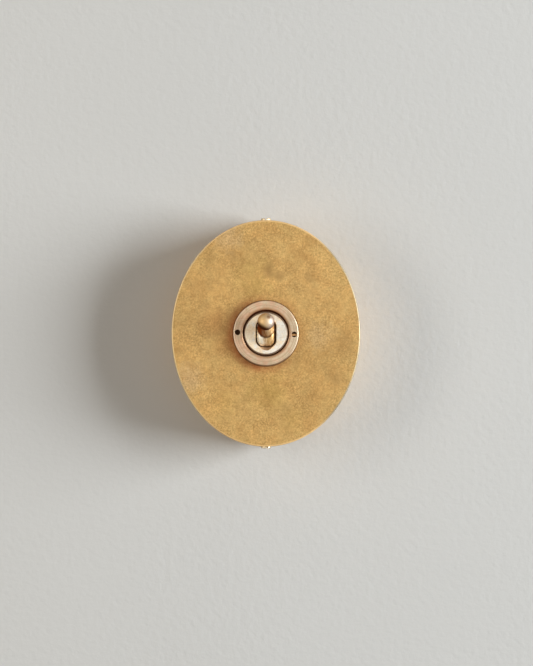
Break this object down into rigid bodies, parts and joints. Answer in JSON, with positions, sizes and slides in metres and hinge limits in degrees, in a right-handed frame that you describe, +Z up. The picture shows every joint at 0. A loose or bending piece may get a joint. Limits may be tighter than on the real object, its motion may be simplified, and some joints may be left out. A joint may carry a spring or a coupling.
{
  "type": "dolly light switch",
  "caption": "Surface-mounted light switch with a deep oval brass shell, a round slotted nose held by a ring nut and a ball-ended lever that tips up and down.",
  "frame": {"origin": "centre of the back face, on the wall plane behind the middle of the nose", "axes": "+X to the right seen from the front, +Y into the wall, +Z up; the front faces -Y"},
  "size_m": [0.1, 0.0535, 0.1244],
  "materials": {
    "aged_brass": "aged satin brass with brown stains",
    "screw_brass": "worn brass",
    "ring_bronze": "satin turned, slightly pink",
    "pale_brass": "pale satin, turned",
    "polished_brass": "polished by use",
    "terminal_brass": "bright",
    "zinc_steel": "zinc plated",
    "bright_steel": "bright",
    "silver": "satin silver",
    "black_rubber": "matte",
    "red_fibre": "vulcanised fibre",
    "black_moulding": "phenolic moulding"
  },
  "bodies": {
    "housing": {"cover": "aged_brass", "cover_screws": "screw_brass", "back_plate": "zinc_steel", "cable_grommet": "black_rubber", "earth_terminal": "terminal_brass", "earth_screw": "zinc_steel", "locking_ring": "ring_bronze", "nose_bush": "pale_brass", "fibre_washer": "red_fibre", "pivot_pin": "bright_steel", "rocker_pin": "bright_steel", "switch_base": "black_moulding", "base_screws": "zinc_steel", "upper_terminal": "terminal_brass", "lower_terminal": "terminal_brass", "common_terminal": "terminal_brass", "fixed_tips": "silver", "terminal_screws": "zinc_steel"},
    "lever": {"dolly": "polished_brass", "plunger_spring": "bright_steel"},
    "plunger": {"plunger": "bright_steel"},
    "rocker": {"rocker": "terminal_brass", "rocker_tips": "silver"}
  },
  "joints": [
    {"name": "dolly_pivot", "type": "hinge", "parent": "housing", "child": "lever", "pos_m": [0, -0.0354, 0], "axis": [1, 0, 0], "range_deg": [0, 48]},
    {"name": "plunger_slide", "type": "slide", "parent": "lever", "child": "plunger", "axis": [0, -0.9135, 0.4067], "range_m": [0, 0.0015], "stiffness_N_per_m": 800, "springref_m": -0.002, "deforming": ["plunger_spring"]},
    {"name": "rocker_tilt", "type": "hinge", "parent": "housing", "child": "rocker", "pos_m": [0, -0.0164, 0], "axis": [1, 0, 0], "range_deg": [-16, 0]}
  ],
  "couplings": [
    {"joint": "rocker_tilt", "follows": "dolly_pivot", "ratio": -0.33333}
  ]
}
